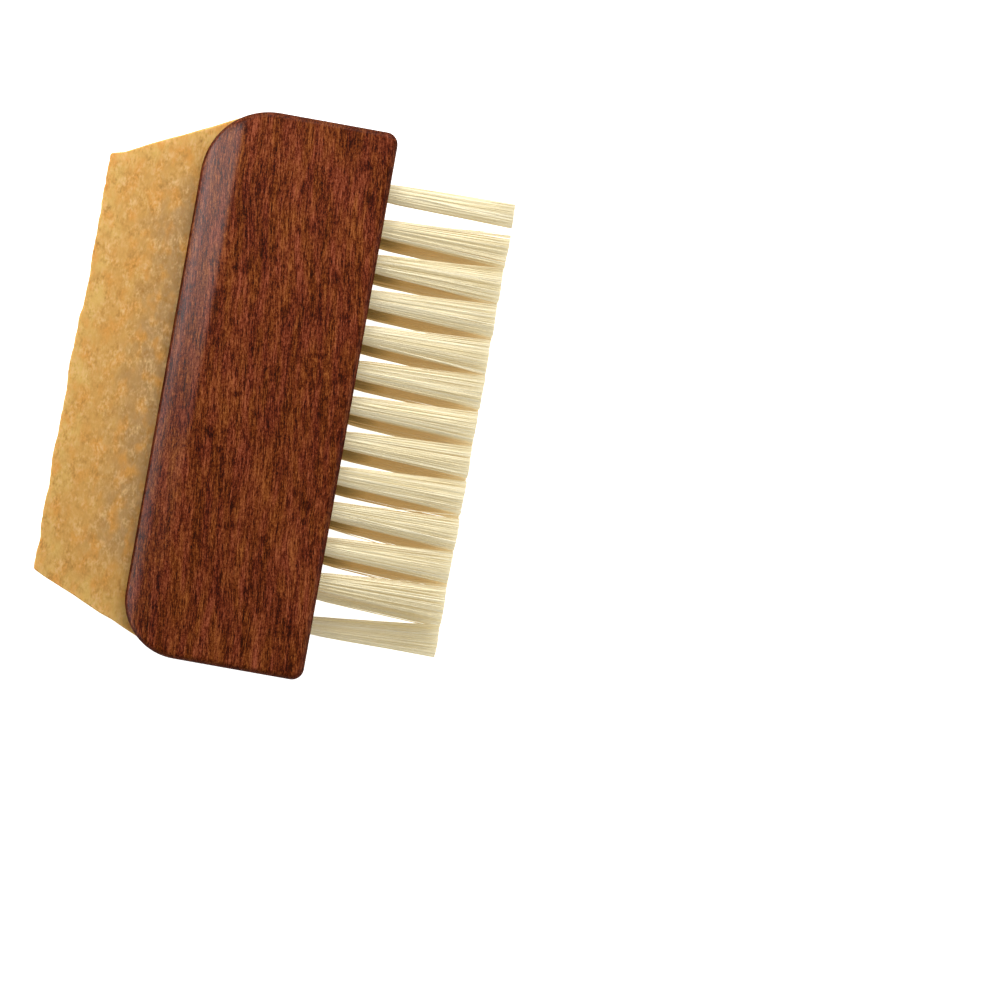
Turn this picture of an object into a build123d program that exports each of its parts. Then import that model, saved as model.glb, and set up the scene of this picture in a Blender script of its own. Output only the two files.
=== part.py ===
"""Suede brush: a hardwood block with a slab of crepe rubber on one edge and bristle tufts on the other.

The brush lies flat. X runs from the crepe to the bristles, Y along the block and Z up.
The origin is the centre of the block's lower flat face. Lengths are in millimetres.
"""

from build123d import *
import math
import os

os.makedirs("parts", exist_ok=True)

# Hardwood block
block_length = 95.0
block_width = 32.4
block_thickness = 17.5
far_corner_radius = 11.8
near_corner_radius = 10.0
bristle_corner_radius = 2.1
edge_round = 1.1
grip_round_width = 7.0
grip_round_drop = 3.2

# Crepe slab, whose tenon sits in the slot
crepe_thickness = 7.0
crepe_reach = 16.5
crepe_far_setback = 12.1
crepe_near_setback = 10.6
crepe_tenon_setback = 0.7
crepe_corner_round = 0.8
crepe_edge_bevel = 0.4
tenon_depth = 7.0
glue_thickness = 0.15

# Bristle tufts, in two rows set off from each other
tuft_pitch = 6.15
row_spacing = 6.5
row_shift = 7.9
far_margin = 10.1
least_near_margin = 8.0
hole_diameter = 3.3
hole_depth = 9.0
root_clearance = 0.1
root_sides = 10
root_fold_share = 0.5
bristle_length = 22.0

# Strands of one tuft
strand_width_share = 0.145
strand_bite = 0.3
fan_gap = 0.3
ring_counts = (1, 6, 11)
ring_radius_shares = (0.0, 0.53, 1.0)
end_fan_share = 0.72
turned_phases = (0, 11, 22)

# Flat wire anchors, one a hole
anchor_thickness = 0.4
anchor_height = 1.6
anchor_bite = 0.4
anchor_lift = 0.9
anchor_clearance = 0.05

cut_overrun = 1.0

bristle_edge_x = block_width / 2
crepe_edge_x = -block_width / 2
middle_z = block_thickness / 2
hole_radius = hole_diameter / 2
root_radius = hole_radius - root_clearance
root_flat_radius = root_radius * math.cos(math.pi / root_sides)
slot_width = crepe_thickness + 2 * glue_thickness
slot_depth = tenon_depth + glue_thickness
edge_plane = Plane(origin=(bristle_edge_x, 0, middle_z), x_dir=(0, 1, 0), z_dir=(1, 0, 0))

# Places of the tufts on the bristle edge: along the block, and up from its middle
row_room = block_length - far_margin - row_shift - least_near_margin
tufts_per_row = 1 + math.floor(row_room / tuft_pitch)
row_start = block_length / 2 - far_margin
upper_places = [(row_start - k * tuft_pitch, row_spacing / 2) for k in range(tufts_per_row)]
lower_places = [(row_start - row_shift - k * tuft_pitch, -row_spacing / 2) for k in range(tufts_per_row)]
tuft_places = upper_places + lower_places


def block_outline():
    """Plan of the block: broad corners towards the crepe, small ones towards the bristles."""
    with BuildSketch(Plane.XY) as outline:
        Rectangle(block_width, block_length)
        fillet(outline.vertices().group_by(Axis.X)[-1], bristle_corner_radius)
        near_corner, far_corner = outline.vertices().group_by(Axis.X)[0].sort_by(Axis.Y)
        fillet(near_corner, near_corner_radius)
        far_corner = outline.vertices().sort_by_distance(far_corner)[0]
        fillet(far_corner, far_corner_radius)
    return outline.sketch


def crepe_outline():
    """Plan of the slab: as long as the block at its tenon, shorter at its working edge."""
    tenon_x = crepe_edge_x + tenon_depth
    front_x = crepe_edge_x - crepe_reach
    block_end = block_length / 2
    tenon_end = block_end - crepe_tenon_setback
    with BuildSketch(Plane.XY) as outline:
        with BuildLine():
            Polyline(
                (tenon_x, -tenon_end),
                (tenon_x, tenon_end),
                (front_x, block_end - crepe_far_setback),
                (front_x, crepe_near_setback - block_end),
                close=True,
            )
        make_face()
        fillet(outline.vertices().group_by(Axis.X)[0], crepe_corner_round)
    return outline.sketch


def block_profile():
    """Cross-section of the block: flat faces that round over to the crepe edge."""
    with BuildSketch(Plane.XZ.offset(-block_length / 2 - cut_overrun)) as profile:
        with BuildLine():
            lower = Line((bristle_edge_x, 0), (crepe_edge_x + grip_round_width, 0))
            lower_arc = TangentArc(lower @ 1, (crepe_edge_x, grip_round_drop), tangent=lower % 1)
            mouth = Line(lower_arc @ 1, (crepe_edge_x, block_thickness - grip_round_drop))
            upper = Line(
                (bristle_edge_x, block_thickness),
                (crepe_edge_x + grip_round_width, block_thickness),
            )
            TangentArc(upper @ 1, mouth @ 1, tangent=upper % 1)
            Line(upper @ 0, lower @ 0)
        make_face()
    return profile.sketch


def slot_section(width, margin):
    """Cross-section of the sawn slot, or of what fills it, seen along the X axis."""
    with BuildSketch(Plane.YZ.offset(crepe_edge_x)) as section:
        with Locations((0, middle_z)):
            Rectangle(block_length + 2 * margin, width)
    return section.sketch


def anchor_section(length, thickness, depth):
    """Cross-sections of the flat wires, or of the cuts that take them, at a depth in the holes."""
    with BuildSketch(edge_plane.offset(-depth)) as section:
        with Locations(*tuft_places):
            Rectangle(length, thickness)
    return section.sketch


def ring_radius(bundle_radius, strand_width):
    """Radius of the outermost ring of strands whose outer corners just reach a bundle's edge."""
    return math.sqrt(bundle_radius**2 - (strand_width / 2) ** 2) - strand_width / 2


def make_strand(angle, ring_share, fan_radius):
    """One lock of bristles: square in section, from the mouth of the hole to the trimmed tips."""
    foot_width = 2 * root_flat_radius * strand_width_share
    tip_width = 2 * fan_radius * strand_width_share
    foot_reach = ring_share * ring_radius(root_flat_radius, foot_width)
    tip_reach = ring_share * ring_radius(fan_radius, tip_width)
    tip_side = (foot_width - tip_width) / 2
    tip_shift = tip_reach - foot_reach + tip_side
    with BuildPart() as strand:
        with PolarLocations(foot_reach - foot_width / 2, 1, start_angle=angle):
            with Locations((0, foot_width / 2, -strand_bite)):
                Wedge(
                    xsize=foot_width,
                    ysize=strand_bite + bristle_length,
                    zsize=foot_width,
                    xmin=tip_shift,
                    zmin=tip_side,
                    xmax=tip_shift + tip_width,
                    zmax=tip_side + tip_width,
                    rotation=(90, 0, 0),
                    align=None,
                )
    return strand.part


def make_tuft(phase, fan_radius):
    """A tuft along the Z axis: its folded root, cut out round the anchor, and its fan of strands."""
    strands = []
    for count, ring_share in zip(ring_counts, ring_radius_shares):
        for k in range(count):
            strands.append(make_strand(phase + k * 360 / count, ring_share, fan_radius))
    with BuildPart() as tuft:
        with BuildSketch(Plane.XY.offset(root_clearance - hole_depth)):
            RegularPolygon(root_radius, root_sides)
        extrude(amount=hole_depth - root_clearance)
        chamfer(tuft.faces().sort_by(Axis.Z)[0].edges(), root_fold_share * root_radius)
        with BuildSketch(Plane.XY.offset(anchor_lift - anchor_clearance - hole_depth)):
            Rectangle(hole_diameter, anchor_thickness + 2 * anchor_clearance)
        extrude(amount=anchor_height + 2 * anchor_clearance, mode=Mode.SUBTRACT)
        add(strands)
    return tuft.part


plan = block_outline()
slab_plan = crepe_outline()

with BuildPart() as handle_block:
    extrude(plan, amount=block_thickness)
    extrude(block_profile(), amount=block_length + 2 * cut_overrun, mode=Mode.INTERSECT)
    seam_x = crepe_edge_x + grip_round_width
    seams = handle_block.edges().filter_by_position(Axis.X, seam_x, seam_x)
    rims = handle_block.edges().filter_by(Axis.Z, reverse=True) - seams
    fillet(rims, edge_round)
    extrude(slot_section(slot_width, cut_overrun), amount=slot_depth, mode=Mode.SUBTRACT)
    with Locations(edge_plane):
        with Locations(*tuft_places):
            Hole(hole_radius, depth=hole_depth)
    anchor_cuts = anchor_section(
        hole_diameter + 2 * (anchor_bite + anchor_clearance),
        anchor_thickness + 2 * anchor_clearance,
        hole_depth - anchor_lift + anchor_clearance,
    )
    extrude(anchor_cuts, amount=anchor_height + 2 * anchor_clearance, mode=Mode.SUBTRACT)
handle_block.part.label = "handle_block"
export_step(handle_block.part, "parts/handle_block.step")

with BuildPart() as crepe_pad:
    with BuildSketch(Plane.XY.offset(middle_z - crepe_thickness / 2)):
        add(slab_plan)
    extrude(amount=crepe_thickness)
    working_edges = crepe_pad.faces().sort_by(Axis.X)[0].edges().filter_by(Axis.Y)
    chamfer(working_edges, crepe_edge_bevel)
crepe_pad.part.label = "crepe_pad"
export_step(crepe_pad.part, "parts/crepe_pad.step")

with BuildPart() as glue_film:
    extrude(slot_section(slot_width, 0), amount=slot_depth)
    extrude(plan, amount=block_thickness, mode=Mode.INTERSECT)
    with BuildSketch(Plane.XY.offset(middle_z - crepe_thickness / 2)):
        add(slab_plan)
    extrude(amount=crepe_thickness, mode=Mode.SUBTRACT)
glue_film.part.label = "glue_film"
export_step(glue_film.part, "parts/glue_film.step")

with BuildPart() as tuft_anchors:
    anchor_plan = anchor_section(hole_diameter + 2 * anchor_bite, anchor_thickness, hole_depth - anchor_lift)
    extrude(anchor_plan, amount=anchor_height)
tuft_anchors.part.label = "tuft_anchors"
export_step(tuft_anchors.part, "parts/tuft_anchors.step")

fan_radius = (min(tuft_pitch, row_spacing) - fan_gap) / 2
full_tufts = [make_tuft(phase, fan_radius) for phase in turned_phases]
end_tuft = make_tuft(0, fan_radius * end_fan_share)

for row, places in (("a", upper_places), ("b", lower_places)):
    for k, place in enumerate(places):
        shape = end_tuft if place == upper_places[0] else full_tufts[k % len(full_tufts)]
        with BuildPart(edge_plane) as tuft:
            with Locations(place):
                add(shape)
        tuft.part.label = f"tuft_{row}{k + 1:02d}"
        export_step(tuft.part, f"parts/{tuft.part.label}.step")
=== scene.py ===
"""Suede brush: the looks of a varnished hardwood block with a crepe rubber slab and bristle tufts.

The brush lies flat. X runs from the crepe to the bristles, Y along the block and Z up.
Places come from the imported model, and lengths are in metres unless a name or comment says otherwise.
"""

import math

import bmesh
import bpy
import numpy as np
from bpy.props import FloatProperty, FloatVectorProperty, IntProperty, PointerProperty
from mathutils import Euler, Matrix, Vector


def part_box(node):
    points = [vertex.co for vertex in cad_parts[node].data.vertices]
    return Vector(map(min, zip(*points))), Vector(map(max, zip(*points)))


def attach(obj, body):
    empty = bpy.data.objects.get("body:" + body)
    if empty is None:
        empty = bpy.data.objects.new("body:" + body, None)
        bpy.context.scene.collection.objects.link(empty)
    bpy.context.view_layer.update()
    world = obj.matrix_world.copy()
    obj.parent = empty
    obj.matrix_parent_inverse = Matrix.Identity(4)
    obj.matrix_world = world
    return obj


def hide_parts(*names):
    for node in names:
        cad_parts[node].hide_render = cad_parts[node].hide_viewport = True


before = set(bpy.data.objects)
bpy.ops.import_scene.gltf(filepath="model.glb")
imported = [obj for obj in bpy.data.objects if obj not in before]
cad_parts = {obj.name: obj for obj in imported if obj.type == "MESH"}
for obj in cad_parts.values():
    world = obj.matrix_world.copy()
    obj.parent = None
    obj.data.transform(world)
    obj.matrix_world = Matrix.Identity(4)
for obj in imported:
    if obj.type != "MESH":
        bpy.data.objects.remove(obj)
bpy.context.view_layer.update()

bl_info = {
    "name": "Suede brush",
    "version": (1, 0, 0),
    "blender": (4, 5, 0),
    "location": "View3D > Sidebar > Suede brush",
    "description": "Builds a suede brush's finishes, crepe slab, bristle tufts and studio",
    "category": "Add Mesh",
}

MM = 0.001
BODY = "root"

BLOCK = "handle_block"
CREPE = "crepe_pad"
GLUE = "glue_film"
ANCHORS = "tuft_anchors"
TUFTS = sorted(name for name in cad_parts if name.startswith("tuft_") and name != ANCHORS)
UPPER_ROW = "tuft_a"

# A Mix node's setting and output for colours. Its sockets are 0 for the share, 6 and 7 for the colours.
COLOUR_MIX = {"data_type": "RGBA", "output": 2}

# Points of the crepe slab's surface: round its section, and along it with its two closed ends
ACROSS_POINTS = 84
SIDE_POINTS = 15
CORNER_POINTS = 6
STATIONS = 340
END_RINGS = 10
END_TURN_RINGS = 5

# One bristle: where its rings stand on each leg, from tip to mouth, and how many go round the fold
LEG_SHARES = (1.0, 0.75, 0.5, 0.25, 0.08, 0.0)
FOLD_RINGS = 4
BRISTLE_SIDES = 4
# By chance tips drift and legs bow this far, and this share of the bristles strays. The lean grows
# with this power of the way out, and a bristle keeps this far from the anchor's middle.
DRIFT = 0.12 * MM
BOW = 0.06 * MM
STRAY_SHARE = 0.06
LEAN_POWER = 1.3
LEAST_RISE = 0.4 * MM

# The key softbox is a bank of panels on a curve, dimmer towards its top, which the crepe edge's varnish
# reflects as a band that fades out. Each panel has degrees from upright, width and share of brightness.
# The emittance is in watts a square metre.
KEY_PANELS = ((5.5, 0.026, 0.12), (11, 0.031, 0.4), (17, 0.031, 0.75), (47.5, 0.322, 1.0))
KEY_RADIUS = 0.297
KEY_LENGTH = 0.36
KEY_CENTRE = (0, 0.17, 0)
KEY_EMITTANCE = 5.5
REAR_PLACE = (0.05, 0.45, 0.35)
REAR_SIZE = (0.5, 0.4)
FILL_PLACE = (0.45, -0.1, 0.35)
FILL_SIZE = (0.4, 0.6)

# The camera's sensor and lens are in millimetres, and it turns by these degrees about X, Y and Z
SENSOR_WIDTH = 36
LENS = 210.1
CAMERA_PLACE = (0.0155, 0.0002)
CAMERA_DEGREES = (-0.928, -1.509, 10.167)


def linear(hex_colour):
    """sRGB hex to linear RGBA: c / 12.92 below 0.04045, and ((c + 0.055) / 1.055) ** 2.4 above."""
    channels = [int(hex_colour[k:k + 2], 16) / 255 for k in (0, 2, 4)]
    return [c / 12.92 if c <= 0.04045 else ((c + 0.055) / 1.055) ** 2.4 for c in channels] + [1.0]


def colour_property(name, description, hex_colour):
    """A colour that the user can change, whose default is an sRGB hex value."""
    return FloatVectorProperty(
        name=name,
        description=description,
        default=linear(hex_colour),
        size=4,
        subtype="COLOR",
        min=0.0,
        max=1.0,
    )


def length_property(name, description, millimetres_long):
    """A length that the user can change, whose default is in millimetres."""
    return FloatProperty(
        name=name,
        description=description,
        default=millimetres_long * MM,
        unit="LENGTH",
        subtype="DISTANCE",
    )


def power_property(name, description, watts):
    """A light's power that the user can change."""
    return FloatProperty(name=name, description=description, default=watts, min=0.0, unit="POWER")


class SuedeBrushWood(bpy.types.PropertyGroup):
    pore: colour_property("Pore", "Stain that has gathered in the pores and flecks", "2C1008")
    dark_grain: colour_property("Dark grain", "Stained late wood", "46190B")
    mid_grain: colour_property("Mid grain", "Stained wood between the streaks", "692F17")
    light_grain: colour_property("Light grain", "Lighter streaks of early wood", "9B593B")
    red_cast: colour_property("Red cast", "Tint of the redder streaks", "FFECEC")
    golden_cast: colour_property("Golden cast", "Tint of the more golden streaks", "FFFFC4")
    near_corner: length_property("Near corner", "Radius of the block's near corner by the crepe", 10.0)
    far_corner: length_property("Far corner", "Radius of the block's far corner by the crepe", 11.8)
    bristle_corner: length_property("Bristle corner", "Radius of the corners by the bristles", 2.1)
    grain_angle: FloatProperty(
        name="Grain angle",
        description="How far the grain runs off the block's length",
        default=math.radians(-6.5),
        unit="ROTATION",
        subtype="ANGLE",
    )
    # The darkening by the outline is partly stain and partly painted shade of the rounded edges
    edge_stain_and_shade: length_property("Edge stain", "How far in from the outline the stain is darker", 1.4)
    varnish_roughness: FloatProperty(
        name="Varnish roughness",
        description="Roughness of the satin varnish",
        default=0.22,
        min=0.0,
        max=1.0,
    )


class SuedeBrushCrepe(bpy.types.PropertyGroup):
    amber: colour_property("Amber", "Main colour of the crepe rubber", "C6964C")
    ochre_edge_glow: colour_property("Ochre", "Yellower rubber, mostly by the outer edges", "CDA558")
    # Ochre is yellower rubber at the cut edges, lightened as a painted glow of light coming through them
    orange: colour_property("Orange", "Warmer patches", "CE9240")
    # Painted shade: the block's shadow on the rubber by the wood, drawn as a darker, greyer colour
    wood_side_shade: colour_property("Grey", "Greyer rubber, mostly by the wood", "AD8650")
    brown: colour_property("Brown", "Darker crumbs", "A0702E")
    cream: colour_property("Cream", "Paler crumbs and threads", "DCB47A")
    corner: length_property("Corner", "Round of the slab's edges", 0.35)
    near_setback: length_property("Near setback", "How far the near end line comes in by the front", 10.0)
    far_setback: length_property("Far setback", "How far the far end line comes in by the front", 11.4)
    far_ease: length_property("Far ease", "How much the far line flattens near the front", 0.55)
    far_slope: FloatProperty(name="Far slope", description="Slant of the far end line", default=0.5)
    front_wave: length_property("Front wave", "How far the cut working edge wanders", 0.28)
    end_wave: length_property("End wave", "How far the cut end lines wander", 0.1)
    knife_stop: length_property("Knife stop", "Where along the front the cut was taken up again", 8.2)
    knife_step: length_property("Knife step", "Step in the front at that place", 0.5)
    relief: length_property("Relief", "Depth of the uneven, milled surface", 0.12)


class SuedeBrushBristles(bpy.types.PropertyGroup):
    pale: colour_property("Pale", "Bleached bristles", "E8DFC2")
    golden: colour_property("Golden", "Less bleached bristles", "E0D3AC")
    # Deep is painted shade of the bristles between the rows
    deep_shade: colour_property("Deep", "Bristles between the rows, seen through others", "DABC7C")
    # Root is painted shade: the bristles darkened where they leave the wood between the rows
    root: colour_property("Root", "The same bristles where they leave the wood", "8C7038")
    folded: IntProperty(
        name="Folded bristles",
        description="Bristles folded over each anchor, each giving two tips",
        default=130,
        min=1,
        soft_max=200,
    )
    diameter: length_property("Diameter", "Thickness of one bristle", 0.17)
    bundle: length_property("Bundle", "Radius of the bundle of bristles in its hole", 1.6)
    swell: length_property("Swell", "How much the bundle widens just outside the hole", 0.08)
    far_lean: length_property("Far lean", "How far the far end tuft leans towards the others", 0.05)
    near_lean: length_property("Near lean", "How far the near end tuft leans towards the others", 1.2)
    stray: length_property("Stray", "How far a few bristles stand out of line at their tips", 1.2)
    trim: length_property("Trim", "How unevenly the tips are trimmed", 0.24)


class SuedeBrushStage(bpy.types.PropertyGroup):
    camera_height: length_property("Camera height", "Height of the camera above the floor", 1016.4)
    floor_side: length_property("Floor side", "Side of the pale floor", 6000.0)
    key_power: FloatProperty(
        name="Key brightness",
        description="Brightness of the softbox over the crepe, 1 for 5.5 watts a square metre",
        default=1.2,
        min=0.0,
    )
    rear_power: power_property("Rear power", "Power of the softbox past the far end", 3.0)
    fill_power: power_property("Fill power", "Power of the softbox over the bristles", 1.2)


def add_node(tree, kind, values=(), stops=(), output=0, **settings):
    """Add a node and give one of its outputs.

    The values, a dictionary or a list in the order of the sockets, are numbers, colours or other nodes'
    outputs. The stops are those of a colour ramp, and the settings are the node's own.
    """
    node = tree.nodes.new("ShaderNode" + kind)
    for name, value in settings.items():
        setattr(node, name, value)
    for socket, value in (values if isinstance(values, dict) else dict(enumerate(values))).items():
        if isinstance(value, bpy.types.NodeSocket):
            tree.links.new(value, node.inputs[socket])
        else:
            node.inputs[socket].default_value = value
    for k, (place, colour) in enumerate(stops):
        ramp = node.color_ramp.elements
        stop = ramp[k] if k < 2 else ramp.new(place)
        stop.position = place
        stop.color = colour
    return node.outputs[output]


def new_material(name, **settings):
    """A material with a Principled surface, whose fixed values are set on the shader's own sockets."""
    material = bpy.data.materials.new(name)
    material.use_nodes = True
    shader = material.node_tree.nodes["Principled BSDF"]
    for socket, value in settings.items():
        shader.inputs[socket.replace("_", " ")].default_value = value
    return material, material.node_tree, shader


def millimetres(tree):
    """The point on the piece, in millimetres of the object's own frame."""
    place = add_node(tree, "TexCoord", output="Object")
    return add_node(tree, "VectorMath", (place, [1 / MM] * 3), operation="MULTIPLY")


def streaks(tree, point, width, length, detail=1.0, roughness=0.5):
    """Cloudy streaks from 0 to 1: noise on x / width, y / length and z / width, in millimetres."""
    squeeze = (1 / width, 1 / length, 1 / width)
    squeezed = add_node(tree, "VectorMath", (point, squeeze), operation="MULTIPLY")
    noise = {"Vector": squeezed, "Scale": 1.0, "Detail": detail, "Roughness": roughness}
    return add_node(tree, "TexNoise", noise, output="Fac")


def inside_outline(tree, point, look):
    """How far a point lies inside the block's outline seen from above, in millimetres.

    With the corner's radius r and q = |p| - (half size - r), it is
    r - length(max(q, 0)) - min(max(q.x, q.y), 0).
    """
    low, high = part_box(BLOCK)
    x, y, _ = add_node(tree, "SeparateXYZ", (point,)).node.outputs
    by_bristles = add_node(tree, "Math", (x, 0.0), operation="GREATER_THAN")
    far = add_node(tree, "Math", (y, 0.0), operation="GREATER_THAN")
    broad = add_node(tree, "MapRange", (far, 0.0, 1.0, look.near_corner / MM, look.far_corner / MM))
    radius = add_node(tree, "Mix", {0: by_bristles, 2: broad, 3: look.bristle_corner / MM})
    past = []
    for coordinate, size in ((x, high.x - low.x), (y, high.y - low.y)):
        distance = add_node(tree, "Math", (coordinate,), operation="ABSOLUTE")
        widened = add_node(tree, "Math", (distance, radius), operation="ADD")
        past.append(add_node(tree, "Math", (widened, size / 2 / MM), operation="SUBTRACT"))
    outer = [add_node(tree, "Math", (value, 0.0), operation="MAXIMUM") for value in past]
    corner = add_node(tree, "CombineXYZ", outer)
    reach = add_node(tree, "VectorMath", (corner,), output="Value", operation="LENGTH")
    further = add_node(tree, "Math", past, operation="MAXIMUM")
    inner = add_node(tree, "Math", (further, 0.0), operation="MINIMUM")
    rounded = add_node(tree, "Math", (radius, reach), operation="SUBTRACT")
    return add_node(tree, "Math", (rounded, inner), operation="SUBTRACT")


def stained_beech(look):
    """Beech, planed, stained dark and varnished satin.

    To the eye: short dark flecks and fibres along the grain, where stain has soaked in, with redder and
    more golden streaks, edges darkened partly by stain and partly by painted shade, and a soft clear
    reflection lying over it all.
    """
    material, tree, shader = new_material(
        "stained_beech_satin_varnish",
        Roughness=0.55,
        Coat_Weight=1.0,
        Coat_Roughness=look.varnish_roughness,
        Coat_IOR=1.5,
        Specular_IOR_Level=0.0,
    )
    point = millimetres(tree)
    bend = add_node(tree, "TexNoise", {"Vector": point, "Scale": 0.05, "Detail": 1.0}, output="Color")
    swayed = add_node(tree, "VectorMath", (bend, (2.0, 0.0, 1.5), point), operation="MULTIPLY_ADD")
    grain = add_node(tree, "VectorRotate", {"Vector": swayed, "Angle": look.grain_angle})

    # Beech has pores 0.06 mm wide and fibres 0.02 mm wide. A pixel is 0.17 mm, so both are drawn about
    # a pixel wide. Its rays show as flecks 0.1 to 0.2 mm wide and 0.5 mm long, its vessels gather in lines
    # 0.6 mm wide and 10 mm long, and its growth bands are 4 mm wide, and these have their real sizes.
    grit = streaks(tree, grain, 0.12, 0.22)
    fleck = streaks(tree, grain, 0.17, 0.55)
    fibre = streaks(tree, grain, 0.2, 2.2)
    vessel = streaks(tree, grain, 0.6, 10.0)
    band = streaks(tree, grain, 4.0, 11.0, detail=2.0)
    # Smudges 2.5 mm across are where the stain took more, and the casts are bands 1.5 mm wide
    smudge = add_node(tree, "MapRange", (streaks(tree, grain, 2.4, 2.8), 0.64, 0.76))
    cast = add_node(tree, "MapRange", (streaks(tree, grain, 1.5, 8.0), 0.35, 0.65))

    tone = -0.675
    weights = ((fibre, 0.7), (fleck, 0.55), (grit, 0.45), (band, 0.25), (vessel, 0.38), (smudge, -0.14))
    for pattern, weight in weights:
        tone = add_node(tree, "Math", (pattern, weight, tone), operation="MULTIPLY_ADD")
    stops = [(0.25, look.pore), (0.375, look.dark_grain), (0.5, look.mid_grain), (0.75, look.light_grain)]
    stain = add_node(tree, "ValToRGB", (tone,), stops)
    tint = add_node(tree, "Mix", {0: cast, 6: look.red_cast, 7: look.golden_cast}, **COLOUR_MIX)
    stained = add_node(tree, "Mix", {0: 1.0, 6: stain, 7: tint}, blend_type="MULTIPLY", **COLOUR_MIX)

    # Darker by the outline: broadly on the flat faces, and narrowly also round the crepe edge. This is
    # partly stain gathered at the edges and partly painted shade of the rounded edges and of the gap by
    # the crepe
    inside = inside_outline(tree, point, look)
    across = add_node(tree, "SeparateXYZ", (point,), output="X")
    on_flat = add_node(tree, "MapRange", (across, -14.0, -9.0))
    by_edge = add_node(tree, "MapRange", (inside, 0.1, look.edge_stain_and_shade / MM, 1.0, 0.0))
    broad_edge = add_node(tree, "Math", (by_edge, on_flat), operation="MULTIPLY")
    narrow_edge = add_node(tree, "MapRange", (inside, 0.15, 0.5, 1.0, 0.0))
    edge = add_node(tree, "Math", (broad_edge, narrow_edge), operation="MAXIMUM")
    darker = add_node(tree, "Math", (edge, 0.6, 0.0), operation="MULTIPLY_ADD")
    wood = add_node(tree, "Mix", {0: darker, 6: stained, 7: look.pore}, **COLOUR_MIX)
    tree.links.new(wood, shader.inputs["Base Color"])
    # Varnish runs thin over the rounded edges
    varnish = add_node(tree, "MapRange", (edge, 0.0, 0.35, 1.0, 0.08))
    tree.links.new(varnish, shader.inputs["Coat Weight"])
    bump = add_node(tree, "Bump", {"Height": fleck, "Strength": 0.35, "Distance": 0.05 * MM})
    tree.links.new(bump, shader.inputs["Normal"])
    return material


def crepe_rubber(look):
    """Crepe rubber, milled into sheet from wet crumbs and cut with a knife.

    To the eye: amber, mottled with orange patches and with paler and browner crumbs, yellower by the
    cut edges with a painted glow of light through them, darker and greyer by the wood with painted shade
    of the block, dull, and soft where light gets into it.
    """
    material, tree, shader = new_material(
        "milled_crepe_rubber",
        Roughness=0.6,
        Subsurface_Weight=0.3,
        Subsurface_Radius=(3.0 * MM, 1.6 * MM, 0.6 * MM),
        Subsurface_Scale=1.0,
        Specular_IOR_Level=0.35,
    )
    point = millimetres(tree)
    # The crumbs are about 1 mm across and the threads between them 0.3 mm wide, in patches of 2 to 5 mm
    patch = streaks(tree, point, 3.0, 4.5, detail=2.0)
    warmth = streaks(tree, point, 2.4, 4.0, detail=2.0)
    crumb = streaks(tree, point, 0.9, 1.3, detail=2.0, roughness=0.6)
    thread = streaks(tree, point, 0.3, 0.6)
    amount = add_node(tree, "MapRange", (streaks(tree, point, 2.0, 3.0), 0.38, 0.6, 0.3, 1.0))

    # How far in from the cut edges, in millimetres, with the patches adding up to 4.5 mm either way
    rim = add_node(tree, "Attribute", output="Fac", attribute_name="rim")
    shifted = add_node(tree, "Math", (rim, 1.0, -4.5), operation="MULTIPLY_ADD")
    inward = add_node(tree, "Math", (patch, 9.0, shifted), operation="MULTIPLY_ADD")
    # The colour starts as ochre at the cut edges, which is partly a painted glow of light through them
    colour = look.ochre_edge_glow
    # The grey tone about 7 to 13 mm in from the cut edges, by the wood, is painted shade of the block
    for values, tone in (
        ((inward, 1.0, 4.0), look.amber),
        ((inward, 7.0, 13.0), look.wood_side_shade),
        ((warmth, 0.48, 0.68, 0.0, 0.85), look.orange),
    ):
        share = add_node(tree, "MapRange", values)
        colour = add_node(tree, "Mix", {0: share, 6: colour, 7: tone}, **COLOUR_MIX)
    fine = add_node(tree, "Math", (thread, 0.4, 0.0), operation="MULTIPLY_ADD")
    paleness = add_node(tree, "Math", (crumb, 0.6, fine), operation="MULTIPLY_ADD")
    for stop, tone in ((0.29, look.brown), (0.71, look.cream)):
        share = add_node(tree, "MapRange", (paleness, 0.5, stop))
        share = add_node(tree, "Math", (share, amount), operation="MULTIPLY")
        colour = add_node(tree, "Mix", {0: share, 6: colour, 7: tone}, **COLOUR_MIX)
    tree.links.new(colour, shader.inputs["Base Color"])
    bump = add_node(tree, "Bump", {"Height": paleness, "Strength": 0.5, "Distance": 0.2 * MM})
    tree.links.new(bump, shader.inputs["Normal"])
    return material


def natural_bristle(look):
    """Natural bristle, bleached and cut flush.

    To the eye: cream strands with a faint gloss, some a little more golden, deeper in colour between the
    rows and brown at the wood, both as painted shade where other bristles cover them. A weak emission
    stands for the light that comes through the strands.
    """
    material, tree, shader = new_material(
        "bleached_natural_bristle",
        Roughness=0.45,
        Specular_IOR_Level=0.3,
        Emission_Strength=0.19,
    )
    tone = add_node(tree, "Attribute", output="Fac", attribute_name="strand_tone")
    depth = add_node(tree, "Attribute", output="Fac", attribute_name="depth")
    # Painted shade: the deep colour where bristles are covered, and the root colour at the wood
    root_shade = add_node(tree, "MapRange", (depth, 0.95, 1.5))
    colour = look.golden
    for share, shade in ((tone, look.pale), (depth, look.deep_shade), (root_shade, look.root)):
        colour = add_node(tree, "Mix", {0: share, 6: colour, 7: shade}, **COLOUR_MIX)
    tree.links.new(colour, shader.inputs["Base Color"])
    tree.links.new(colour, shader.inputs["Emission Color"])
    return material


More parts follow.
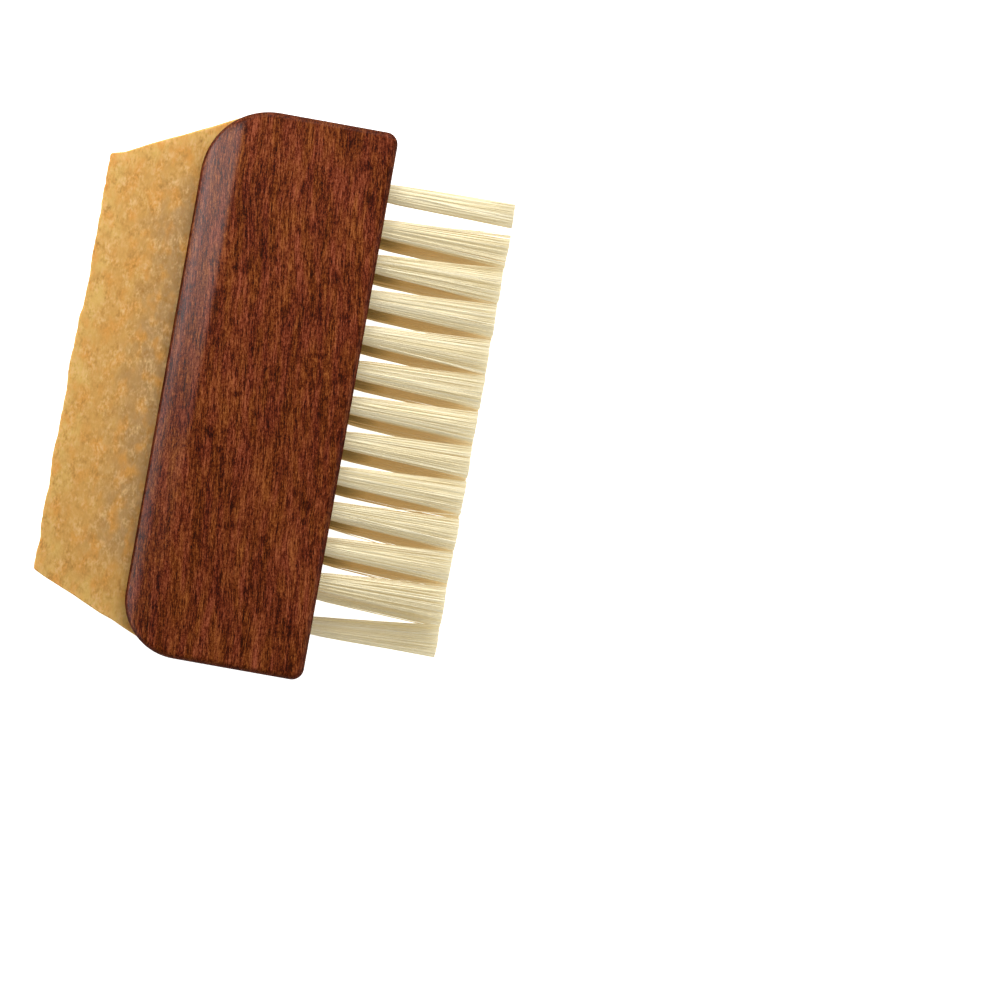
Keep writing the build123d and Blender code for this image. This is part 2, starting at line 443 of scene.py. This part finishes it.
def cured_adhesive():
    """Contact adhesive, squeezed thin and cured.

    To the eye: a dark amber film, a little glossy, uneven over 1 to 2 mm where it was brushed on.
    """
    material, tree, shader = new_material("cured_contact_adhesive", Roughness=0.35)
    patch = streaks(tree, millimetres(tree), 1.2, 1.8, detail=2.0)
    colour = add_node(tree, "Mix", {0: patch, 6: linear("5A3518"), 7: linear("8A5A2C")}, **COLOUR_MIX)
    tree.links.new(colour, shader.inputs["Base Color"])
    return material


def drawn_steel():
    """Flat steel wire, drawn through a die.

    To the eye: bright grey, with fine darker and duller lines along its length.
    """
    material, tree, shader = new_material("drawn_steel_wire", Metallic=1.0)
    # Real drawing lines are 0.01 mm wide, and are drawn 0.05 mm wide so that they can show
    lines = streaks(tree, millimetres(tree), 0.05, 2.0, detail=2.0)
    colour = add_node(tree, "Mix", {0: lines, 6: linear("8C8C8A"), 7: linear("C2C2C0")}, **COLOUR_MIX)
    tree.links.new(colour, shader.inputs["Base Color"])
    roughness = add_node(tree, "MapRange", (lines, 0.3, 0.7, 0.25, 0.45))
    tree.links.new(roughness, shader.inputs["Roughness"])
    return material


def add_piece(name, points, faces, material, node):
    """A mesh object at the origin that rides the body and stands for one CAD node."""
    mesh = bpy.data.meshes.new(name)
    mesh.from_pydata(points.reshape(-1, 3), [], faces.tolist())
    mesh.materials.append(material)
    mesh.shade_smooth()
    piece = bpy.data.objects.new(name, mesh)
    bpy.context.scene.collection.objects.link(piece)
    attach(piece, BODY)
    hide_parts(node)
    return piece


def add_values(piece, name, values):
    """Keep one number for each point of the mesh, for its material to read."""
    attribute = piece.data.attributes.new(name, "FLOAT", "POINT")
    attribute.data.foreach_set("value", np.ravel(values))


def weld(piece):
    """Close the ends of a surface, where its rings shrink to a line."""
    shape = bmesh.new()
    shape.from_mesh(piece.data)
    bmesh.ops.remove_doubles(shape, verts=shape.verts, dist=0.001 * MM)
    bmesh.ops.recalc_face_normals(shape, faces=shape.faces)
    shape.to_mesh(piece.data)
    shape.free()


def ring_faces(rings, sides):
    """Quads between neighbouring points of rings that close on themselves, in the order of the points."""
    left = np.arange(rings * sides).reshape(rings, sides)
    right = np.roll(left, -1, axis=1)
    quads = np.stack([left[:-1], right[:-1], right[1:], left[1:]], axis=-1)
    return quads.reshape(-1, 4)


def ease(share):
    """Smooth step: 3 s^2 - 2 s^3 for s from 0 to 1."""
    return share * share * (3 - 2 * share)


def eased(distance, length):
    """Smooth step that starts at distance 0 and ends at the length, flat before and after."""
    return ease(np.clip(distance / length, 0, 1))


def uneven(rng, along, across, size_along, size_across):
    """Value noise from -1 to 1: random heights on a grid, eased between the four corners of a cell."""
    u = (along - along.min()) / size_along
    v = (across - across.min()) / size_across
    heights = rng.uniform(-1, 1, (int(u.max()) + 2, int(v.max()) + 2))
    i = u.astype(int)
    j = v.astype(int)
    s = ease(u - i)
    t = ease(v - j)
    near = heights[i, j] * (1 - t) + heights[i, j + 1] * t
    far = heights[i + 1, j] * (1 - t) + heights[i + 1, j + 1] * t
    return near * (1 - s) + far * s


def section_loop(across_count, side_count, corner_count):
    """One turn round a rounded rectangle, top first: shares S and Z of its inner rectangle, and normals.

    S runs from 0 at the tenon to 1 at the front and Z from 1 at the top to -1 underneath. A corner keeps
    its S and Z while its normal turns by a quarter circle.
    """
    across = np.linspace(0, 1, across_count)
    upright = np.linspace(1, -1, side_count)
    angles = np.radians(np.linspace(90, 180, corner_count))[1:-1]
    quarter = []
    for share, level, first in ((1, 1, 0), (1, -1, 90), (0, -1, 180), (0, 1, 270)):
        turned = angles + np.radians(first)
        quarter.append((share + 0 * angles, level + 0 * angles, np.cos(turned), np.sin(turned)))
    straight = (
        (across, across * 0 + 1, across * 0, across * 0 + 1),
        (upright * 0 + 1, upright, upright * 0 - 1, upright * 0),
        (across[::-1], across * 0 - 1, across * 0, across * 0 - 1),
        (upright * 0, -upright, upright * 0 + 1, upright * 0),
    )
    parts = [part for pair in zip(straight, quarter) for part in pair]
    return [np.concatenate(column) for column in zip(*parts)]


def crepe_rings(half_height, corner):
    """The slab's rings from end to end: how far each is drawn in and pulled back, and its share along.

    An end face grows from a line, as the draw d falls from the half height to the corner's radius r.
    Then d = r (1 - sin a) and the pull p = r (1 - cos a) go round its edge. Between the ends d = 0.
    """
    turn = np.linspace(0, np.pi / 2, END_TURN_RINGS)
    face_draw = np.linspace(half_height, corner, END_RINGS)[:-1]
    end_draw = np.concatenate([face_draw, corner * (1 - np.sin(turn))])
    end_pull = np.concatenate([0 * face_draw, corner * (1 - np.cos(turn))])
    run = np.linspace(0, 1, STATIONS)[1:-1]
    draw = np.concatenate([end_draw, 0 * run, end_draw[::-1]])[:, None]
    pull = np.concatenate([end_pull, 0 * run + corner, end_pull[::-1]])[:, None]
    along = np.concatenate([0 * end_draw, run, 0 * end_draw + 1])[:, None]
    return draw, pull, along


def crepe_front(rng, station_y, low_x, look):
    """The x of the knife-cut working edge at each y.

    It stands back from the lowest x by wave max(0.65 + wander, 0), and by a step that is eased in over
    2.2 mm round the knife stop. The wander is half strokes, with noise of 2.4 mm and 0.9 mm added. The
    strokes are 1 - 2 |noise of 5 mm|: smooth, with a sharp nick where one meets the next.
    """
    strokes = 1 - 2 * np.abs(uneven(rng, station_y, 0 * station_y, 5 * MM, MM))
    wander = strokes * 0.5
    wander += uneven(rng, station_y, 0 * station_y, 2.4 * MM, MM) * 0.3
    wander += uneven(rng, station_y, 0 * station_y, 0.9 * MM, MM) * 0.2
    step = ease(np.clip((station_y - look.knife_stop) / (2.2 * MM) + 0.5, 0, 1))
    return low_x + look.front_wave * np.maximum(0.65 + wander, 0) + look.knife_step * step


def crepe_surface(low, high, edge_x, look):
    """The slab: a rounded section carried from the near end line to the far one, closed at both ends.

    With the section drawn in by d from its full size and corners of radius r, m = max(r, d) and
    q = max(r - d, 0), a point is x = tenon - m + S (front - tenon + 2 m) + q nx and
    z = middle + Z (h - m) + q nz, and y = near(x) + p + t (far(x) - near(x) - 2 p), with S, Z, nx and nz
    from the section's loop, and d, p and t from the rings. The near line comes in evenly, the far line
    by slope times the distance from the tenon less a short ease by the front, and both wander inwards
    with noise of 2.5 mm. On the flat faces z falls by relief (1 + noise) / 2, the noise being half of
    3 mm and half of 1 mm, and fading out towards the wood.
    """
    rng = np.random.default_rng(5)
    corner = look.corner
    half_height = (high.z - low.z) / 2
    share, level, normal_x, normal_z = section_loop(ACROSS_POINTS, SIDE_POINTS, CORNER_POINTS)
    draw, pull, along = crepe_rings(half_height, corner)
    front_length = high.y - low.y - look.near_setback - look.far_setback
    front = crepe_front(rng, low.y + look.near_setback + along * front_length, low.x, look)

    edge = np.maximum(corner, draw)
    round_over = np.maximum(corner - draw, 0)
    x = high.x - edge + share * (front - high.x + 2 * edge) + round_over * normal_x
    z = level * (half_height - edge) + round_over * normal_z

    out = high.x - x
    near = low.y + look.near_setback * out / (high.x - low.x)
    far = high.y - look.far_slope * out + look.far_ease * eased(out - 20 * MM, 3 * MM)
    near += look.end_wave * (1 + uneven(rng, x, 0 * x, 2.5 * MM, MM))
    far -= look.end_wave * (1 + uneven(rng, x, 0 * x, 2.5 * MM, MM))
    y = near + pull + along * (far - near - 2 * pull)

    # The underside's unevenness is taken 60 mm further on, so that it isn't a copy of the upper side's
    face = np.sign(level) * (np.abs(normal_z) > 0.99) * (draw == 0)
    other_side = 60 * MM * (level < 0)
    depth = uneven(rng, y, x + other_side, 3.1 * MM, 2.4 * MM) * 0.5
    depth += uneven(rng, y, x + other_side, 1.2 * MM, 1.0 * MM) * 0.5
    z -= face * look.relief * (1 + depth) / 2 * eased(edge_x - MM - x, 2 * MM)

    points = np.stack([x, y, z + (high.z + low.z) / 2], axis=-1)
    rim = np.minimum(np.minimum(x - front, far - y), y - near)
    return points, ring_faces(*x.shape), rim


def bristle_paths(name, look, rng):
    """The paths of one tuft's bristles, each folded round its anchor and fanned to two tips.

    A path runs from one tip to the mouth of the hole, down to the anchor, round it on a half ellipse
    and out again to the other tip. With u from 0 at the mouth to 1 at the tip, and w a share of the
    bundle's radius with a direction, a leg stands w (bundle + swell + u (fan - bundle - swell)) + u drift
    + sin(pi u) bow + u^1.3 lean from the tuft's axis, where fan is the radius of the whole tuft at its
    tips less half a bristle. The tips are cut back by trim times a ripple across the tuft, a share of
    each bristle's own and one of the tuft's own.
    """
    low, high = (np.array(corner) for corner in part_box(name))
    anchor_low, anchor_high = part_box(ANCHORS)
    mouth_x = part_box(BLOCK)[1].x
    fan_radius = (high[1] - low[1]) / 2
    strand_radius = look.diameter / 2
    count = look.folded

    reach = np.sqrt(rng.uniform(0.02, 1, (count, 2)))
    turn = rng.uniform(0.06, np.pi - 0.06, (count, 2))
    turn[:, 1] += np.pi
    out = np.stack([np.cos(turn), np.sin(turn)], axis=-1) * reach[..., None]

    fan = np.array(LEG_SHARES)
    swell = look.swell * (fan > 0)
    lean = {TUFTS[0]: -look.far_lean, TUFTS[-1]: look.near_lean}.get(name, rng.normal(0, DRIFT))
    radius = look.bundle + swell + fan * (fan_radius - look.bundle - look.swell - strand_radius)
    drift = rng.normal(0, DRIFT, (count, 2, 2))
    straying = rng.uniform(0, 1, (count, 2, 1)) < STRAY_SHARE
    drift += straying * rng.uniform(-1, 1, (count, 2, 2)) * look.stray
    bow = rng.normal(0, BOW, (count, 2, 2))
    legs = np.empty((count, 2, len(fan), 3))
    legs[..., 0] = mouth_x + fan * (high[0] - mouth_x)
    ripple = 1 + np.cos(out[..., 0] * 2.2 + rng.uniform(0, 6))
    uneven_cut = 0.25 * ripple + 0.5 * rng.uniform(0, 1, (count, 2)) ** 2 + rng.uniform(0, 0.8)
    legs[..., 0, 0] -= strand_radius / 2 + look.trim * uneven_cut
    legs[..., 1:] = out[:, :, None] * radius[:, None] + drift[:, :, None] * fan[:, None]
    legs[..., 1:] += bow[:, :, None] * np.sin(np.pi * fan)[:, None]
    legs[..., 1] += lean * fan ** LEAN_POWER

    foot = np.empty((count, 2, 1, 3))
    foot[..., 0] = anchor_high.x
    foot[..., 1:] = out[:, :, None, :] * (look.bundle - strand_radius)
    rise = np.maximum(np.abs(foot[..., 2]), LEAST_RISE)
    foot[..., 2] = rise * np.sign(out[:, :, None, 1])

    fold_turn = np.pi * np.linspace(0.15, 0.85, FOLD_RINGS)
    fold_share = fold_turn / np.pi
    fold_depth = (0.15 + 0.6 * np.abs(out[:, :, 1]).mean(axis=1)) * MM
    fold = np.empty((count, FOLD_RINGS, 3))
    fold[..., 0] = anchor_low.x - fold_depth[:, None] * np.sin(fold_turn)
    fold[..., 1] = foot[:, 0, :, 1] * (1 - fold_share) + foot[:, 1, :, 1] * fold_share
    fold[..., 2] = (rise[:, 0] + rise[:, 1]) / 2 * np.cos(fold_turn)

    path = np.concatenate([legs[:, 0], foot[:, 0], fold, foot[:, 1], legs[:, 1, ::-1]], axis=1)
    axis_y, axis_z = (low[1:] + high[1:]) / 2
    path[..., 1] += axis_y
    path[..., 2] += axis_z
    return path


def bristle_tubes(path, strand_radius, rng):
    """Thin four-sided tubes along the paths, closed at both ends.

    A ring's point is p + r (cos(a) s + sin(a) o), with s and o square to the path and r a little
    different from bristle to bristle.
    """
    count, rings = path.shape[:2]
    tangent = np.gradient(path, axis=1)
    tangent /= np.linalg.norm(tangent, axis=-1, keepdims=True)
    side = np.cross(tangent, [0.0, 1.0, 0.0])
    side /= np.linalg.norm(side, axis=-1, keepdims=True)
    over = np.cross(tangent, side)

    corners = np.arange(BRISTLE_SIDES)
    around = rng.uniform(0, np.pi / 2, (count, 1, 1)) + corners * 2 * np.pi / BRISTLE_SIDES
    thickness = strand_radius * rng.uniform(0.8, 1.15, (count, 1, 1, 1))
    ring = side[:, :, None] * np.cos(around)[..., None] + over[:, :, None] * np.sin(around)[..., None]
    points = path[:, :, None] + ring * thickness

    one = ring_faces(rings, BRISTLE_SIDES)[:, ::-1]
    start = (np.arange(count) * rings * BRISTLE_SIDES)[:, None, None]
    quads = (one + start).reshape(-1, 4)
    first_cap = (corners[None] + start[:, 0]).reshape(-1, BRISTLE_SIDES)
    last_ring = (rings - 1) * BRISTLE_SIDES
    last_cap = (corners[::-1][None] + last_ring + start[:, 0]).reshape(-1, BRISTLE_SIDES)
    return points, np.concatenate([quads, first_cap, last_cap])


def painted_shade_between_rows(points, tips_x):
    """How much painted shade a point gets where other bristles cover it, from 0 in the open to 1.5 between
    the rows at the wood.

    With u from 0 at the wood to 1 at the tips, it is 1 - 0.45 u + 0.5 exp(-(u / 0.16)^2). That eases off
    from 1.5 mm to 4.5 mm above or below the middle, and over the last 4 mm of the upper row's near end.
    """
    low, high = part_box(BLOCK)
    row_end = min(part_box(tuft)[0].y for tuft in TUFTS if tuft.startswith(UPPER_ROW))
    from_middle = np.abs(points[..., 2] - (low.z + high.z) / 2)
    outward = np.clip((points[..., 0] - high.x) / (tips_x - high.x), 0, 1)
    from_wood = 1 - 0.45 * outward + 0.5 * np.exp(-(outward / 0.16) ** 2)
    covered = eased(points[..., 1] - row_end, 4 * MM)
    return (1 - eased(from_middle - 1.5 * MM, 3 * MM)) * from_wood * covered


class SUEDEBRUSH_OT_block(bpy.types.Operator):
    """Stain and varnish the hardwood block"""

    bl_idname = "suedebrush.block"
    bl_label = "Finish block"

    def execute(self, context):
        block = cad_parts[BLOCK]
        block.data.materials.clear()
        block.data.materials.append(stained_beech(context.scene.suede_brush_wood))
        return {"FINISHED"}


class SUEDEBRUSH_OT_crepe(bpy.types.Operator):
    """Make the crepe rubber slab"""

    bl_idname = "suedebrush.crepe"
    bl_label = "Make crepe"

    def execute(self, context):
        look = context.scene.suede_brush_crepe
        low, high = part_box(CREPE)
        points, faces, rim = crepe_surface(low, high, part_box(BLOCK)[0].x, look)
        piece = add_piece("crepe_slab", points, faces, crepe_rubber(look), CREPE)
        add_values(piece, "rim", rim / MM)
        weld(piece)
        return {"FINISHED"}


class SUEDEBRUSH_OT_tufts(bpy.types.Operator):
    """Make the bristle tufts"""

    bl_idname = "suedebrush.tufts"
    bl_label = "Make tufts"

    def execute(self, context):
        look = context.scene.suede_brush_bristles
        material = natural_bristle(look)
        for seed, name in enumerate(TUFTS):
            rng = np.random.default_rng(seed)
            path = bristle_paths(name, look, rng)
            points, faces = bristle_tubes(path, look.diameter / 2, rng)
            tone = np.repeat(rng.uniform(0, 1, look.folded), points[0, ..., 0].size)
            title = name.replace("tuft", "bristles")
            piece = add_piece(title, points, faces, material, name)
            add_values(piece, "strand_tone", tone)
            # The depth attribute is the share of painted shade from covering bristles
            add_values(piece, "depth", painted_shade_between_rows(points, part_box(name)[1].x))
        return {"FINISHED"}


class SUEDEBRUSH_OT_fixings(bpy.types.Operator):
    """Finish the adhesive film and the wire anchors"""

    bl_idname = "suedebrush.fixings"
    bl_label = "Finish fixings"

    def execute(self, context):
        for name, material in ((GLUE, cured_adhesive()), (ANCHORS, drawn_steel())):
            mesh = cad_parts[name].data
            mesh.materials.clear()
            mesh.materials.append(material)
        return {"FINISHED"}


def add_floor(side):
    """A square floor at height 0, of white acrylic sheet lit from behind: an even white with no edge."""
    material, _, shader = new_material("white_acrylic_sheet", Roughness=0.6, Emission_Strength=1.0)
    shader.inputs["Base Color"].default_value = linear("F2F2F0")
    shader.inputs["Emission Color"].default_value = linear("FFFFFF")
    half = side / 2
    corners = [(-half, -half, 0), (half, -half, 0), (half, half, 0), (-half, half, 0)]
    mesh = bpy.data.meshes.new("floor")
    mesh.from_pydata(corners, [], [(0, 1, 2, 3)])
    mesh.materials.append(material)
    floor = bpy.data.objects.new("floor", mesh)
    bpy.context.scene.collection.objects.link(floor)


def add_studio():
    """The room: pale up to 14 degrees above the horizon, and nearly black from 33 degrees up.

    Those heights are the arcsines of the ramp's stops, since a direction's Z is the sine of its height.
    """
    world = bpy.data.worlds.new("studio")
    bpy.context.scene.world = world
    world.use_nodes = True
    tree = world.node_tree
    direction = add_node(tree, "TexCoord", output="Generated")
    height = add_node(tree, "SeparateXYZ", (direction,), output="Z")
    shade = add_node(tree, "ValToRGB", (height,), [(0.25, linear("F0F3F8")), (0.55, linear("080808"))])
    tree.links.new(shade, tree.nodes["Background"].inputs["Color"])


def add_softbox(name, place, aim, size, power):
    """A rectangular area light at place, turned to face aim."""
    light = bpy.data.lights.new(name, "AREA")
    light.shape = "RECTANGLE"
    light.size, light.size_y = size
    light.energy = power
    softbox = bpy.data.objects.new(name, light)
    bpy.context.scene.collection.objects.link(softbox)
    softbox.location = place
    softbox.rotation_euler = (Vector(aim) - Vector(place)).to_track_quat("-Z", "Y").to_euler()


class SUEDEBRUSH_OT_stage(bpy.types.Operator):
    """Set the floor, the lights and the camera"""

    bl_idname = "suedebrush.stage"
    bl_label = "Set stage"

    def execute(self, context):
        look = context.scene.suede_brush_stage
        scene = context.scene
        scene.view_settings.view_transform = "Standard"
        add_floor(look.floor_side)
        add_studio()

        for degrees, width, share in KEY_PANELS:
            side = -KEY_RADIUS * math.sin(math.radians(degrees))
            up = KEY_RADIUS * math.cos(math.radians(degrees))
            power = KEY_EMITTANCE * look.key_power * share * width * KEY_LENGTH
            place = (side, KEY_CENTRE[1], up)
            add_softbox("key_softbox", place, KEY_CENTRE, (width, KEY_LENGTH), power)
        add_softbox("rear_softbox", REAR_PLACE, (0, 0, 0), REAR_SIZE, look.rear_power)
        add_softbox("fill_softbox", FILL_PLACE, (0, 0, 0), FILL_SIZE, look.fill_power)

        camera = bpy.data.cameras.new("camera")
        camera.sensor_width = SENSOR_WIDTH
        camera.lens = LENS
        view = bpy.data.objects.new("camera", camera)
        scene.collection.objects.link(view)
        view.location = (*CAMERA_PLACE, look.camera_height)
        view.rotation_euler = Euler([math.radians(angle) for angle in CAMERA_DEGREES], "XYZ")
        scene.camera = view
        return {"FINISHED"}


class SUEDEBRUSH_PT_panel(bpy.types.Panel):
    """Lists the brush's operators"""

    bl_idname = "SUEDEBRUSH_PT_panel"
    bl_label = "Suede brush"
    bl_space_type = "VIEW_3D"
    bl_region_type = "UI"
    bl_category = "Suede brush"

    def draw(self, context):
        for operator in OPERATORS:
            self.layout.operator(operator.bl_idname)


SETTINGS = {
    "suede_brush_wood": SuedeBrushWood,
    "suede_brush_crepe": SuedeBrushCrepe,
    "suede_brush_bristles": SuedeBrushBristles,
    "suede_brush_stage": SuedeBrushStage,
}
OPERATORS = (
    SUEDEBRUSH_OT_stage,
    SUEDEBRUSH_OT_block,
    SUEDEBRUSH_OT_crepe,
    SUEDEBRUSH_OT_tufts,
    SUEDEBRUSH_OT_fixings,
)


def register():
    for name, group in SETTINGS.items():
        bpy.utils.register_class(group)
        setattr(bpy.types.Scene, name, PointerProperty(type=group))
    for cls in (*OPERATORS, SUEDEBRUSH_PT_panel):
        bpy.utils.register_class(cls)


def unregister():
    for cls in (SUEDEBRUSH_PT_panel, *reversed(OPERATORS)):
        bpy.utils.unregister_class(cls)
    for name, group in reversed(SETTINGS.items()):
        delattr(bpy.types.Scene, name)
        bpy.utils.unregister_class(group)


def main():
    """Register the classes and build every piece."""
    register()
    bpy.ops.suedebrush.stage()
    bpy.ops.suedebrush.block()
    bpy.ops.suedebrush.crepe()
    bpy.ops.suedebrush.tufts()
    bpy.ops.suedebrush.fixings()


if __name__ == "__main__":
    main()
